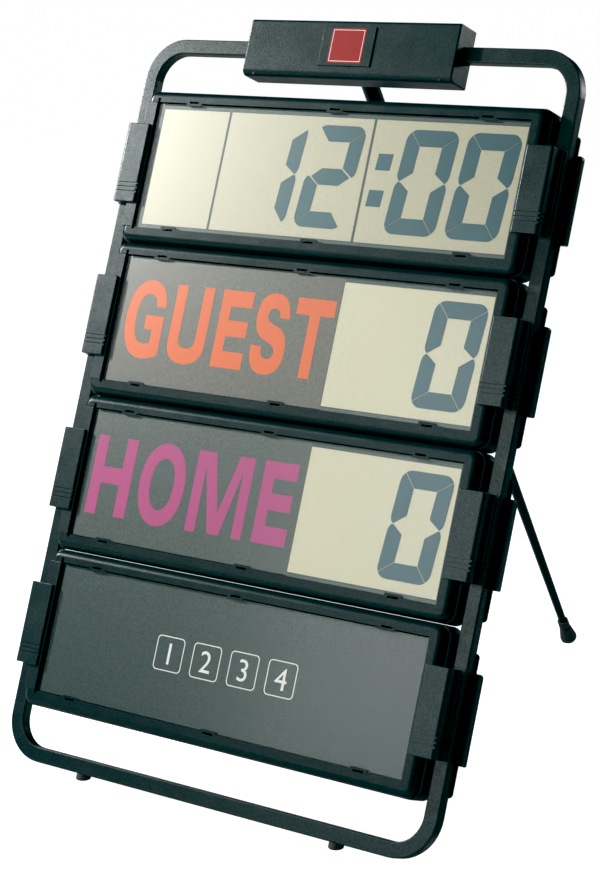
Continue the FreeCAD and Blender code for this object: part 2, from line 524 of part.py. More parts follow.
# tapered leg with a flat-sided knuckle
leg = Part.makeCone(LEG_R0, LEG_R1, LEG_LEN, piv, dl)
kn = cyl_x(-8.7, 8.7, PIV_Y, PIV_Z, 8.4)
leg = leg.cut(Part.makeCylinder(20, 30, piv - dl * 30, dl))
leg = leg.fuse(kn)
leg = leg.cut(Part.makeCone(LEG_R0 - 1.9, LEG_R1 - 1.6, LEG_LEN - 22.0 + 1.0, piv + dl * 22.0, dl))
leg = leg.cut(cyl_x(-20, 20, PIV_Y, PIV_Z, PIN_R + 0.06))
parts["leg_tube"] = leg.removeSplitter()

# rubber tip: socket, groove, flared foot, cut flat where it meets the floor
T0 = LEG_LEN
ring = [(0.0, -12.0), (6.3, -12.0), (6.45, -2.2), (5.4, -2.0), (5.4, -0.6), (6.7, -0.4), (9.7, 15.0), (9.4, 18.4), (7.6, 20.6), (0.0, 21.2)]


def axis_pt(r, t):
    # radius r measured across x, distance t along the leg from the end of the tube
    return V(r, PIV_Y + dl.y * (T0 + t), PIV_Z + dl.z * (T0 + t))


w = Part.makePolygon([axis_pt(r, t) for r, t in ring] + [axis_pt(*ring[0])])
tip = Part.Face(w).revolve(piv, dl, 360)
rr = LEG_R1 + (LEG_R0 - LEG_R1) * 12.2 / LEG_LEN
tip = tip.cut(Part.makeCone(LEG_R1 + (LEG_R0 - LEG_R1) * 14.0 / LEG_LEN, LEG_R1, 14.0, piv + dl * (T0 - 14.0), dl))

# ---------------------------------------------------------------- stand it up
ROT = 90.0 - LEAN
c, s = math.cos(math.radians(LEAN)), math.sin(math.radians(LEAN))


def up(y, z):
    return (y - FLOOR_Y) * c + (z - FLOOR_Z) * s


def place(shape):
    t = shape.copy()
    t.translate(V(0, -FLOOR_Y, -FLOOR_Z))
    t.rotate(V(0, 0, 0), V(1, 0, 0), ROT)
    return t


big = Part.makeBox(4000, 4000, 400, V(-2000, -2000, -400))
feet = []
for fx in (-FOOT_X, FOOT_X):
    f = Part.makeCylinder(FOOT_R, 14.0, V(fx, FR_BOT + 0.0, FLOOR_Z), V(0, -1, 0))
    f = place(f).cut(big)
    f = fillet_at(f, 1.0, lambda e: edge_all(e, lambda p: near(p.z, 0.0)))
    feet.append(f)

for k in list(parts):
    parts[k] = place(parts[k])
parts["frame_feet"] = Part.makeCompound(feet)
parts["leg_tip"] = place(tip).cut(big)
tip_low = place(tip).BoundBox.ZMin
print("rubber tip before trimming reaches z = %.2f" % tip_low)

x0 = min(p.BoundBox.XMin for p in parts.values())
x1 = max(p.BoundBox.XMax for p in parts.values())
y0 = min(p.optimalBoundingBox().YMin for p in parts.values())
y1 = max(p.optimalBoundingBox().YMax for p in parts.values())
OFF_Y = -(y0 + y1) / 2
print("x %.3f %.3f  y %.3f %.3f  shift y %.4f" % (x0, x1, y0, y1, OFF_Y))


def world(x, y, z):
    yy, zz = y - FLOOR_Y, z - FLOOR_Z
    return (x, yy * s - zz * c + OFF_Y, yy * c + zz * s)


os.makedirs("parts", exist_ok=True)
for f in os.listdir("parts"):
    if f.endswith(".step") and f[:-5] not in parts:
        os.remove(os.path.join("parts", f))
for k, shp in parts.items():
    shp.translate(V(0, OFF_Y, 0))
    bad = [i for i, so in enumerate(shp.Solids) if not so.isValid() or so.Volume <= 0]
    if bad or not shp.Solids:
        print("CHECK", k, len(shp.Solids), bad)
    shp.exportStep("parts/%s.step" % k)
print(len(parts), "parts")
print("leg pivot", ["%.4f" % v for v in world(0, PIV_Y, PIV_Z)])
print("board up", (0, round(s, 6), round(c, 6)), "board out", (0, round(-c, 6), round(s, 6)))
print("foot soles y", round(world(0, FLOOR_Y, FLOOR_Z)[1], 3))
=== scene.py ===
import math

import bpy
import bmesh
from mathutils import Matrix, Vector
from mathutils.geometry import tessellate_polygon


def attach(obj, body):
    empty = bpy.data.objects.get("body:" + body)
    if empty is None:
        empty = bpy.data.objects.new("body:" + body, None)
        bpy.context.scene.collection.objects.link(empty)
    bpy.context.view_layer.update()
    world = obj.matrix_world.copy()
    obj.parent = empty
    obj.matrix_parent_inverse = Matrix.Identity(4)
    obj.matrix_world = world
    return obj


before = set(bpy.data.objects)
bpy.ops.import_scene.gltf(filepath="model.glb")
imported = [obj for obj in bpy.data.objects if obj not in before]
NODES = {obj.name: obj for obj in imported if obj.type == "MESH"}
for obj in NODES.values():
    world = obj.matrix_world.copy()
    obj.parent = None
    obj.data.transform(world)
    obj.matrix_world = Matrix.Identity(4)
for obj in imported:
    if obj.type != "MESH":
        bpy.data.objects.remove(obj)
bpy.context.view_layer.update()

scene = bpy.context.scene

# ---------------------------------------------------------------- the board's own frame
# Millimetres: x right from the frame's centre, y up the board from the top of the first
# window, z out of its front. BOARD takes them to metres in the row frame.
LEAN = math.radians(19.5)
SL, CL = math.sin(LEAN), math.cos(LEAN)
FLOOR_Y, FLOOR_Z, OFF_Y = -686.5, -21.6, -350.2162
WIN_H, PITCH, WIN_X = 131.4, 160.1, 1.55
WIN_L, WIN_R = WIN_X - 219.5, WIN_X + 219.5
MODS = ("timer", "guest", "home", "lower")

BOARD = Matrix((
    (0.001, 0.0, 0.0, 0.0),
    (0.0, 0.001 * SL, -0.001 * CL, 0.001 * (-FLOOR_Y * SL + FLOOR_Z * CL + OFF_Y)),
    (0.0, 0.001 * CL, 0.001 * SL, 0.001 * (-FLOOR_Y * CL - FLOOR_Z * SL)),
    (0.0, 0.0, 0.0, 1.0)))
ROT = Matrix(((1, 0, 0), (0, SL, -CL), (0, CL, SL)))


def W(x, y, z):
    return BOARD @ Vector((x, y, z))


# ---------------------------------------------------------------- camera
cam_data = bpy.data.cameras.new("view")
cam_data.sensor_width = 36.0
cam_data.lens = 95.09
cam_data.clip_start, cam_data.clip_end = 0.05, 300.0
cam = bpy.data.objects.new("view", cam_data)
scene.collection.objects.link(cam)
right = ROT @ Vector((0.807812775, 0.198635133, -0.554961804))
down = ROT @ Vector((0.120109345, -0.977225398, -0.174940750))
ahead = ROT @ Vector((-0.577072149, 0.074663274, -0.813273097))
m3 = Matrix((right, -down, -ahead)).transposed()
cam.matrix_world = Matrix.Translation(W(1297.75, -481.3, 1776.5)) @ m3.to_4x4()
scene.camera = cam


# ---------------------------------------------------------------- node helpers
class Mat:
    """A small builder for a material's nodes."""

    def __init__(self, name):
        self.m = bpy.data.materials.new(name)
        self.m.use_nodes = True
        self.nt = self.m.node_tree
        self.p = next(n for n in self.nt.nodes if n.type == "BSDF_PRINCIPLED")
        self.out = next(n for n in self.nt.nodes if n.type == "OUTPUT_MATERIAL")
        self.tc = self.nt.nodes.new("ShaderNodeTexCoord")

    def node(self, kind, **kw):
        n = self.nt.nodes.new(kind)
        for k, v in kw.items():
            setattr(n, k, v)
        return n

    def link(self, a, b):
        self.nt.links.new(a, b)

    def coords(self, scale=None, rot=None):
        if scale is None and rot is None:
            return self.tc.outputs["Object"]
        mp = self.node("ShaderNodeMapping")
        if scale is not None:
            mp.inputs["Scale"].default_value = scale
        if rot is not None:
            mp.inputs["Rotation"].default_value = rot
        self.link(self.tc.outputs["Object"], mp.inputs["Vector"])
        return mp.outputs["Vector"]

    def noise(self, scale, detail=2.0, rough=0.5, vec=None, distortion=0.0):
        n = self.node("ShaderNodeTexNoise")
        n.inputs["Scale"].default_value = scale
        n.inputs["Detail"].default_value = detail
        n.inputs["Roughness"].default_value = rough
        n.inputs["Distortion"].default_value = distortion
        self.link(vec if vec is not None else self.coords(), n.inputs["Vector"])
        return n.outputs["Fac"]

    def voronoi(self, scale, vec=None, feature="F1", out="Distance"):
        n = self.node("ShaderNodeTexVoronoi", feature=feature)
        n.inputs["Scale"].default_value = scale
        self.link(vec if vec is not None else self.coords(), n.inputs["Vector"])
        return n.outputs[out]

    def ramp(self, fac, stops, interp="LINEAR"):
        r = self.node("ShaderNodeValToRGB")
        r.color_ramp.interpolation = interp
        el = r.color_ramp.elements
        while len(el) < len(stops):
            el.new(0.5)
        for e, (p, c) in zip(el, stops):
            e.position = p
            e.color = c if len(c) == 4 else (*c, 1.0)
        self.link(fac, r.inputs["Fac"])
        return r.outputs["Color"]

    def rng(self, fac, a, b, c, d, clamp=True):
        n = self.node("ShaderNodeMapRange", clamp=clamp)
        for i, v in enumerate((a, b, c, d)):
            n.inputs[i + 1].default_value = v
        self.link(fac, n.inputs[0])
        return n.outputs[0]

    def mix(self, fac, a, b, mode="MIX"):
        n = self.node("ShaderNodeMix", data_type="RGBA", blend_type=mode)
        for sock, v in ((n.inputs[0], fac), (n.inputs[6], a), (n.inputs[7], b)):
            if isinstance(v, (int, float)):
                sock.default_value = v
            elif isinstance(v, (tuple, list)):
                sock.default_value = v if len(v) == 4 else (*v, 1.0)
            else:
                self.link(v, sock)
        return n.outputs[2]

    def math(self, op, a, b=None):
        n = self.node("ShaderNodeMath", operation=op)
        for i, v in enumerate((a, b)):
            if v is None:
                continue
            if isinstance(v, (int, float)):
                n.inputs[i].default_value = v
            else:
                self.link(v, n.inputs[i])
        return n.outputs[0]

    def bump(self, height, strength, distance, normal=None):
        b = self.node("ShaderNodeBump")
        b.inputs["Strength"].default_value = strength
        b.inputs["Distance"].default_value = distance
        self.link(height, b.inputs["Height"])
        if normal is not None:
            self.link(normal, b.inputs["Normal"])
        return b.outputs["Normal"]

    def set(self, **kw):
        for k, v in kw.items():
            s = self.p.inputs[k.replace("_", " ")]
            if isinstance(v, bpy.types.NodeSocket):
                self.link(v, s)
            elif isinstance(v, (tuple, list)) and len(v) == 3 and s.type == "RGBA":
                s.default_value = (*v, 1.0)
            else:
                s.default_value = v
        return self


def edge_mask(mt, radius, lo=0.004, hi=0.10):
    """1 on the sharp outer edges, from how far a rounded normal is from the face's own."""
    bv = mt.node("ShaderNodeBevel", samples=4)
    bv.inputs["Radius"].default_value = radius
    geo = mt.node("ShaderNodeNewGeometry")
    dot = mt.node("ShaderNodeVectorMath", operation="DOT_PRODUCT")
    mt.link(bv.outputs["Normal"], dot.inputs[0])
    mt.link(geo.outputs["Normal"], dot.inputs[1])
    gap = mt.math("SUBTRACT", 1.0, dot.outputs["Value"])
    return mt.rng(gap, lo, hi, 0.0, 1.0)


def moulded(name, dark, light, rough=(0.28, 0.35), grain=850.0, bump=0.5, wear=None, dist=0.00022, spec=0.22,
            speck=0.4, tint=(0.92, 1.0, 0.97, 1.0)):
    """Charcoal plastic with a sandy spark-eroded texture, slight clouding and handling wear."""
    mt = Mat(name)
    cloud = mt.noise(9.0, 3.0, 0.55)
    sand = mt.noise(grain, 2.0, 0.7)
    fine = mt.noise(grain * 2.3, 2.0, 0.6)
    cell = mt.voronoi(grain * 1.1)
    mottle = mt.noise(grain * 0.62, 2.0, 0.75)
    base = mt.mix(mt.rng(cloud, 0.3, 0.7, 0.0, 1.0), dark, light)
    base = mt.mix(mt.rng(sand, 0.52, 0.74, 0.0, speck), base, tuple(min(1.0, c * 3.0) for c in light))
    base = mt.mix(mt.rng(fine, 0.30, 0.46, 0.45, 0.0), base, tuple(c * 0.35 for c in dark))
    if wear:
        scuff = mt.noise(60.0, 5.0, 0.65)
        mask = mt.math("MULTIPLY", edge_mask(mt, 0.0011), mt.rng(scuff, 0.35, 0.65, 0.15, 0.8))
        base = mt.mix(mask, base, wear)
    h = mt.math("ADD", mt.math("MULTIPLY", sand, 0.5), mt.math("MULTIPLY", cell, 0.3))
    mt.set(Base_Color=base,
           Roughness=mt.rng(mt.noise(38.0, 4.0, 0.6), 0.3, 0.7, rough[0], rough[1]),
           Normal=mt.bump(h, bump, dist),
           Specular_IOR_Level=mt.rng(mottle, 0.34, 0.66, spec * 0.62, spec * 1.38))
    mt.p.inputs["Specular Tint"].default_value = tint
    return mt.m


def powder(name, dark, light, rough=(0.26, 0.33), spec=0.24,
           tint=(0.92, 1.0, 0.97, 1.0)):
    """Textured powder coat on metal: a coarser orange-peel under a fine grain."""
    mt = Mat(name)
    peel = mt.noise(620.0, 2.0, 0.5)
    fine = mt.noise(1500.0, 2.0, 0.6)
    cloud = mt.noise(7.0, 3.0, 0.5)
    base = mt.mix(mt.rng(cloud, 0.3, 0.7, 0.0, 1.0), dark, light)
    base = mt.mix(mt.rng(peel, 0.52, 0.74, 0.0, 0.5), base, tuple(min(1.0, c * 2.6) for c in light))
    scuff = mt.noise(45.0, 5.0, 0.65)
    mask = mt.math("MULTIPLY", edge_mask(mt, 0.0012), mt.rng(scuff, 0.35, 0.65, 0.1, 0.55))
    base = mt.mix(mask, base, (0.10, 0.115, 0.11))
    h = mt.math("ADD", mt.math("MULTIPLY", peel, 0.5), mt.math("MULTIPLY", fine, 0.4))
    mottle = mt.noise(520.0, 2.0, 0.75)
    mt.set(Base_Color=base,
           Roughness=mt.rng(mt.noise(30.0, 4.0, 0.6), 0.3, 0.7, rough[0], rough[1]),
           Normal=mt.bump(h, 0.35, 0.0002),
           Specular_IOR_Level=mt.rng(mottle, 0.34, 0.66, spec * 0.62, spec * 1.38))
    mt.p.inputs["Specular Tint"].default_value = tint
    return mt.m


def rubber(name, dark, light, spec=0.4):
    mt = Mat(name)
    n = mt.noise(500.0, 4.0, 0.6)
    dust = mt.noise(42.0, 5.0, 0.7)
    base = mt.mix(mt.rng(n, 0.3, 0.7, 0.0, 1.0), dark, light)
    base = mt.mix(mt.rng(dust, 0.55, 0.8, 0.0, 0.3), base, tuple(c * 3.0 for c in light))
    mt.set(Base_Color=base, Roughness=mt.rng(n, 0.3, 0.7, 0.55, 0.72), Normal=mt.bump(n, 0.25, 0.00018))
    mt.p.inputs["Specular IOR Level"].default_value = spec
    return mt.m


def steel(name, col, rough=(0.22, 0.4), metallic=1.0, scale=(2600.0, 2600.0, 120.0)):
    """Turned or drawn metal: fine lines along one way, with darker handling marks."""
    mt = Mat(name)
    line = mt.noise(1.0, 2.0, 0.6, vec=mt.coords(scale))
    spot = mt.noise(150.0, 4.0, 0.6)
    base = mt.mix(mt.rng(spot, 0.35, 0.7, 0.0, 1.0), col, tuple(c * 0.62 for c in col))
    mt.set(Base_Color=base, Metallic=metallic,
           Roughness=mt.rng(line, 0.3, 0.7, rough[0], rough[1]),
           Normal=mt.bump(line, 0.12, 0.00005))
    return mt.m


def lcd_glass(name, tone, edge):
    """Reflective liquid-crystal panel: a warm pearly reflector with a sandy grain."""
    mt = Mat(name)
    grain = mt.noise(1250.0, 2.0, 0.65)
    mid = mt.noise(520.0, 3.0, 0.6)
    cloud = mt.noise(6.0, 2.0, 0.5)
    base = mt.mix(mt.rng(cloud, 0.3, 0.7, 0.0, 1.0), tone, edge)
    base = mt.mix(mt.rng(grain, 0.30, 0.62, 0.34, 0.0), base, tuple(c * 0.62 for c in tone))
    base = mt.mix(mt.rng(mid, 0.50, 0.70, 0.0, 0.30), base, tuple(min(1.0, c * 1.22) for c in tone))
    base = mt.mix(mt.rng(mt.noise(430.0, 2.0, 0.8), 0.36, 0.60, 0.40, 0.0), base, tuple(c * 0.80 for c in tone))
    mt.set(Base_Color=base, Roughness=mt.rng(mid, 0.3, 0.7, 0.33, 0.40), Metallic=0.0,
           Normal=mt.bump(grain, 0.12, 0.00006))
    mt.p.inputs["Specular IOR Level"].default_value = 0.85
    return mt.m


def segment_ink(name):
    """Driven segment: blue-grey, a touch uneven as the polariser is."""
    mt = Mat(name)
    grain = mt.noise(1250.0, 2.0, 0.65)
    cloud = mt.noise(30.0, 3.0, 0.5)
    base = mt.mix(mt.rng(cloud, 0.3, 0.7, 0.0, 1.0), (0.002, 0.072, 0.100), (0.004, 0.082, 0.112))
    base = mt.mix(mt.rng(grain, 0.45, 0.72, 0.0, 0.35), base, (0.022, 0.128, 0.154))
    mt.set(Base_Color=base, Roughness=mt.rng(grain, 0.3, 0.7, 0.34, 0.41), Normal=mt.bump(grain, 0.10, 0.00005))
    mt.p.inputs["Specular IOR Level"].default_value = 0.6
    return mt.m


def printed_card(name, tone, tone2, lift=2.2):
    """Matt printed card: even ink over paper tooth."""
    mt = Mat(name)
    tooth = mt.noise(760.0, 3.0, 0.65)
    fine = mt.noise(1600.0, 2.0, 0.6)
    cloud = mt.noise(5.0, 2.0, 0.5)
    base = mt.mix(mt.rng(cloud, 0.3, 0.7, 0.0, 1.0), tone, tone2)
    base = mt.mix(mt.rng(tooth, 0.50, 0.74, 0.0, 0.5), base, tuple(min(1.0, c * lift) for c in tone2))
    base = mt.mix(mt.rng(fine, 0.28, 0.45, 0.4, 0.0), base, tuple(c * 0.4 for c in tone))
    mottle = mt.noise(470.0, 2.0, 0.8)
    mt.set(Base_Color=base, Roughness=mt.rng(tooth, 0.3, 0.7, 0.34, 0.42), Normal=mt.bump(tooth, 0.2, 0.00012),
           Specular_IOR_Level=mt.rng(mottle, 0.36, 0.64, 0.58, 0.94))
    return mt.m


def ink(name, tone, rough=0.4, spec=0.44, dark=0.74):
    """A printed solid: dense ink with the tooth of its card showing through a little."""
    mt = Mat(name)
    tooth = mt.noise(760.0, 3.0, 0.65)
    fine = mt.noise(1600.0, 2.0, 0.6)
    base = mt.mix(mt.rng(fine, 0.40, 0.70, 0.0, 0.40), tone, tuple(min(1.0, c * dark) for c in tone))
    base = mt.mix(mt.rng(tooth, 0.50, 0.75, 0.0, 0.35), base, tuple(min(1.0, c * 1.15 + 0.02) for c in tone))
    mt.set(Base_Color=base, Roughness=mt.rng(tooth, 0.3, 0.7, rough - 0.06, rough + 0.06),
           Normal=mt.bump(tooth, 0.16, 0.0001))
    mt.p.inputs["Specular IOR Level"].default_value = spec
    return mt.m


def clear_sheet(name):
    """Clear acrylic with a satin front, thin enough that light goes straight on: a broad mirror
    by Fresnel over clear, with a little haze where it has been wiped."""
    mt = Mat(name)
    nt = mt.nt
    nt.nodes.remove(mt.p)
    clear = mt.node("ShaderNodeBsdfTransparent")
    clear.inputs["Color"].default_value = (0.975, 0.985, 0.975, 1.0)
    gloss = mt.node("ShaderNodeBsdfGlossy")
    gloss.inputs["Color"].default_value = (1.0, 1.0, 1.0, 1.0)
    wipe = mt.noise(1.0, 4.0, 0.6, vec=mt.coords((30.0, 4.0, 9.0)))
    mt.link(mt.rng(wipe, 0.35, 0.75, 0.19, 0.21), gloss.inputs["Roughness"])
    satin = mt.noise(900.0, 2.0, 0.6)
    mt.link(mt.bump(satin, 0.12, 0.00004), gloss.inputs["Normal"])
    fr = mt.node("ShaderNodeFresnel")
    fr.inputs["IOR"].default_value = 1.49
    # both faces of the sheet mirror; they are counted together on the face that light enters by
    geo = mt.node("ShaderNodeNewGeometry")
    both = mt.math("MULTIPLY", mt.math("MULTIPLY", fr.outputs[0], 0.6),
                   mt.math("SUBTRACT", 1.0, geo.outputs["Backfacing"]))
    dust = mt.noise(700.0, 2.0, 0.5)
    haze = mt.node("ShaderNodeBsdfDiffuse")
    haze.inputs["Color"].default_value = (0.62, 0.64, 0.62, 1.0)
    mx = mt.node("ShaderNodeMixShader")
    mt.link(both, mx.inputs[0])
    mt.link(clear.outputs[0], mx.inputs[1])
    mt.link(gloss.outputs[0], mx.inputs[2])
    mx2 = mt.node("ShaderNodeMixShader")
    mt.link(mt.rng(dust, 0.50, 0.8, 0.0, 0.02), mx2.inputs[0])
    mt.link(mx.outputs[0], mx2.inputs[1])
    mt.link(haze.outputs[0], mx2.inputs[2])
    mt.link(mx2.outputs[0], mt.out.inputs["Surface"])
    return mt.m


# ---------------------------------------------------------------- materials
M = {}
M["housing_front"] = moulded("housing_front", (0.0035, 0.0110, 0.0120), (0.0050, 0.0140, 0.0150), wear=(0.026, 0.038, 0.037), spec=0.20)
M["end_cap_plastic"] = moulded("end_cap_plastic", (0.0050, 0.0140, 0.0150), (0.0065, 0.0170, 0.0180), wear=(0.030, 0.042, 0.040), spec=0.34)
M["housing_rear"] = moulded("housing_rear", (0.0055, 0.0110, 0.0118), (0.0075, 0.0140, 0.0148), rough=(0.44, 0.56))
M["latch_plastic"] = moulded("latch_plastic", (0.0040, 0.0140, 0.0150), (0.0055, 0.0170, 0.0180), wear=(0.030, 0.042, 0.040), spec=0.34)
M["handle_plastic"] = moulded("handle_plastic", (0.0050, 0.0155, 0.0155), (0.0065, 0.0190, 0.0190), wear=(0.030, 0.042, 0.040))
M["frame_metal"] = powder("frame_metal", (0.0035, 0.0115, 0.0125), (0.0050, 0.0140, 0.0150), spec=0.36)
M["leg_metal"] = powder("leg_metal", (0.0065, 0.0068, 0.0082), (0.0080, 0.0085, 0.0105), spec=0.13)
M["bracket_metal"] = powder("bracket_metal", (0.010, 0.015, 0.016), (0.014, 0.019, 0.020))
M["rubber_black"] = rubber("rubber_black", (0.025, 0.018, 0.019), (0.034, 0.026, 0.028))
M["screw_steel"] = steel("screw_steel", (0.16, 0.16, 0.165), (0.25, 0.42))
M["pin_steel"] = steel("pin_steel", (0.50, 0.50, 0.51), (0.18, 0.32))
M["lcd_glass"] = lcd_glass("lcd_glass", (0.68, 0.635, 0.448), (0.70, 0.655, 0.466))
M["lcd_glass_clock"] = lcd_glass("lcd_glass_clock", (0.535, 0.49, 0.345), (0.555, 0.51, 0.36))
M["segment"] = segment_ink("segment")
M["card_warm_grey"] = printed_card("card_warm_grey", (0.068, 0.059, 0.043), (0.076, 0.067, 0.049))
M["card_cool_grey"] = printed_card("card_cool_grey", (0.026, 0.042, 0.038), (0.031, 0.048, 0.043))
M["card_dark"] = printed_card("card_dark", (0.006, 0.027, 0.027), (0.009, 0.032, 0.032))
M["ink_orange"] = ink("ink_orange", (0.80, 0.140, 0.022))
M["ink_magenta"] = ink("ink_magenta", (0.465, 0.055, 0.222))
M["ink_pale"] = ink("ink_pale", (0.86, 0.86, 0.80))
M["label_red"] = ink("label_red", (0.33, 0.008, 0.006), 0.42, 0.14)
M["button_grey"] = moulded("button_grey", (0.20, 0.21, 0.215), (0.24, 0.25, 0.255), grain=1100.0, speck=0.25)
M["cell_jacket"] = ink("cell_jacket", (0.04, 0.05, 0.07), 0.3)
M["circuit_board"] = ink("circuit_board", (0.015, 0.085, 0.045), 0.35)
M["sounder_black"] = moulded("sounder_black", (0.008, 0.010, 0.011), (0.011, 0.013, 0.014), rough=(0.2, 0.3))
# lighter outer band of the surrounds: a painted highlight of the lens rim over the grey mask
M["surround_rim_highlight"] = ink("surround_rim_highlight", (0.075, 0.116, 0.112), 0.38)
M["surround_inner"] = ink("surround_inner", (0.046, 0.073, 0.066), 0.42)
# black rubber of the window seals, also used as painted shadow: the strips are wide enough to cover the shadow that
# the bezel's top edge casts into the window
M["seal_and_shadow_black"] = rubber("seal_and_shadow_black", (0.0012, 0.0016, 0.0016), (0.0022, 0.003, 0.003), 0.0)
M["lens_clear"] = clear_sheet("lens_clear")


def guess_slot(n):
    for key, s in (("_lens", "lens_clear"), ("_rear_case", "housing_rear"), ("_bezel", "housing_front"),
                   ("_end_cap", "housing_front"), ("_latch_", "latch_plastic"), ("_driver_board", "circuit_board"),
                   ("lcd_panel", "lcd_glass"), ("button_", "button_grey")):
        if key in n:
            return s
    return {"frame_channel": "frame_metal", "frame_front_strip": "frame_metal", "frame_feet": "rubber_black",
            "handle_front_shell": "handle_plastic", "handle_rear_cover": "handle_plastic",
            "handle_screws": "screw_steel", "label_plate": "handle_plastic", "battery_door": "handle_plastic",
            "battery_cells": "cell_jacket", "control_board": "circuit_board", "sounder": "sounder_black",
            "power_switch": "button_grey", "leg_bracket": "bracket_metal", "bracket_screws": "screw_steel",
            "leg_pivot_pin": "pin_steel", "leg_tube": "leg_metal", "leg_tip": "rubber_black",
            "latch_strikers": "latch_plastic", "striker_screws": "screw_steel", "module_screws": "screw_steel",
            "link_port_covers": "rubber_black", "guest_card": "card_warm_grey", "home_card": "card_cool_grey",
            "lower_card": "card_dark"}[n]


for n, o in NODES.items():
    o.data.materials.clear()
    o.data.materials.append(M["end_cap_plastic" if n.endswith("_end_cap") else
                              "lcd_glass_clock" if n == "timer_lcd_panels" else guess_slot(n)])


# ---------------------------------------------------------------- mesh helpers
def to_object(bm, name, mat, body="board", smooth=None):
    bmesh.ops.recalc_face_normals(bm, faces=bm.faces[:])
    me = bpy.data.meshes.new(name)
    bm.transform(BOARD)
    bm.to_mesh(me)
    bm.free()
    me.materials.append(mat)
    ob = bpy.data.objects.new(name, me)
    scene.collection.objects.link(ob)
    if smooth:
        me.shade_smooth()
        me.set_sharp_from_angle(angle=math.radians(smooth))
    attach(ob, body)
    return ob


def prism(bm, rings, z0, z1):
    """Flat piece with straight walls: rings is [outline, hole, ...] of (x, y) in mm."""
    pts = [p for r in rings for p in r]
    tri = tessellate_polygon([[Vector((x, y, 0)) for x, y in r] for r in rings])
    lo = [bm.verts.new((x, y, z0)) for x, y in pts]
    hi = [bm.verts.new((x, y, z1)) for x, y in pts]
    for t in tri:
        if len({t[0], t[1], t[2]}) == 3:
            bm.faces.new([hi[i] for i in t])
            bm.faces.new([lo[i] for i in reversed(t)])
    k = 0
    for r in rings:
        n = len(r)
        for i in range(n):
            a, b = k + i, k + (i + 1) % n
            bm.faces.new((lo[a], lo[b], hi[b], hi[a]))
        k += n


def arc(cx, cy, r, a0, a1, n=10):
    return [(cx + r * math.cos(math.radians(a0 + (a1 - a0) * i / n)),
             cy + r * math.sin(math.radians(a0 + (a1 - a0) * i / n))) for i in range(n + 1)]


def rrect(x0, x1, y0, y1, r, n=8):
    return (arc(x1 - r, y1 - r, r, 0, 90, n) + arc(x0 + r, y1 - r, r, 90, 180, n)
            + arc(x0 + r, y0 + r, r, 180, 270, n) + arc(x1 - r, y0 + r, r, 270, 360, n))


def flat(name, shapes, z0, z1, mat, body="board", dy=0.0, dx=0.0):
    """One piece made of flat prisms; shapes is a list of [outline, hole, ...]."""
    bm = bmesh.new()
    for rings in shapes:
        prism(bm, [[(x + dx, y + dy) for x, y in r] for r in rings], z0, z1)
    return to_object(bm, name, mat, body)


def box_ring(x0, x1, y0, y1):
    return [(x0, y0), (x1, y0), (x1, y1), (x0, y1)]


# ---------------------------------------------------------------- digits
# Seven-segment digit in upright coordinates (u, y), leaning by LEAN_D afterwards.
D_SL, D_MID = 0.078, -65.1
OL, IL, IR, OR = 151.3, 167.9, 192.9, 209.3
TO, TI, BI, BO = -14.3, -30.7, -100.3, -116.5
RC = 11.6
GAP = 0.26
TIPL, TIPR = 155.4, 205.6


def hit(cx, cy, px, py, dx, dy):
    """Where the ray from p along d leaves the corner arc about (cx, cy)."""
    fx, fy = px - cx, py - cy
    a = dx * dx + dy * dy
    b = 2 * (fx * dx + fy * dy)
    c = fx * fx + fy * fy - RC * RC
    t = (-b + math.sqrt(b * b - 4 * a * c)) / (2 * a)
    return math.degrees(math.atan2(py + dy * t - cy, px + dx * t - cx)) % 360


def shift(p, n, g):
    return (p[0] + n[0] * g, p[1] + n[1] * g)


def unit(x, y):
    l = math.hypot(x, y)
    return (x / l, y / l)


CTL, CTR = (OL + RC, TO - RC), (OR - RC, TO - RC)
CBL, CBR = (OL + RC, BO + RC), (OR - RC, BO + RC)
aTL = hit(*CTL, IL, TI, -12.3, 13.4)
aTR = hit(*CTR, IR, TI, 15.0, 10.7)
aBL = hit(*CBL, IL, BI, -15.0, -10.7)
aBR = hit(*CBR, IR, BI, 12.3, -13.4)


def on(c, ang):
    return (c[0] + RC * math.cos(math.radians(ang)), c[1] + RC * math.sin(math.radians(ang)))


def cut(p, q, inside):
    """The mitre from p to q moved by half the gap towards the point inside."""
    n = unit(-(q[1] - p[1]), q[0] - p[0])
    if (inside[0] - p[0]) * n[0] + (inside[1] - p[1]) * n[1] < 0:
        n = (-n[0], -n[1])
    return shift(p, n, GAP), shift(q, n, GAP)


def seg_a():
    pl, ql = cut((IL, TI), on(CTL, aTL), (180, -22))
    pr, qr = cut((IR, TI), on(CTR, aTR), (180, -22))
    return [pl, ql] + arc(*CTL, RC, aTL - 3, 90, 8) + arc(*CTR, RC, 90, aTR + 3, 10) + [qr, pr]


def seg_d():
    pl, ql = cut((IL, BI), on(CBL, aBL), (180, -108))
    pr, qr = cut((IR, BI), on(CBR, aBR), (180, -108))
    return [pr, qr] + arc(*CBR, RC, aBR - 3, 270, 8) + arc(*CBL, RC, 270, aBL + 3, 10) + [ql, pl]


def seg_f():
    p, q = cut((IL, TI), on(CTL, aTL), (159, -45))
    return [p, q] + arc(*CTL, RC, aTL + 3, 180, 8) + [(OL, -57.5), (OL + 0.5, -60.6), (OL + 1.8, -63.2), (TIPL - 0.7, -64.75),
                                                (TIPL + 0.6, -64.6), (IL, -56.4)]


def seg_b():
    p, q = cut((IR, TI), on(CTR, aTR), (201, -45))
    return [q, p] + [(IR, -56.4), (TIPR - 0.6, -64.6), (TIPR + 0.7, -64.75), (OR - 1.8, -63.2), (OR - 0.5, -60.6), (OR, -57.5)] \
        + arc(*CTR, RC, 0, aTR - 3, 6)


def seg_e():
    p, q = cut((IL, BI), on(CBL, aBL), (159, -85))
    return [p, (IL, -74.2), (TIPL + 0.6, -65.7), (TIPL - 0.7, -65.5), (OL + 1.8, -67.0), (OL + 0.5, -69.6), (OL, -72.7)] \
        + arc(*CBL, RC, 180, aBL - 3, 6) + [q]


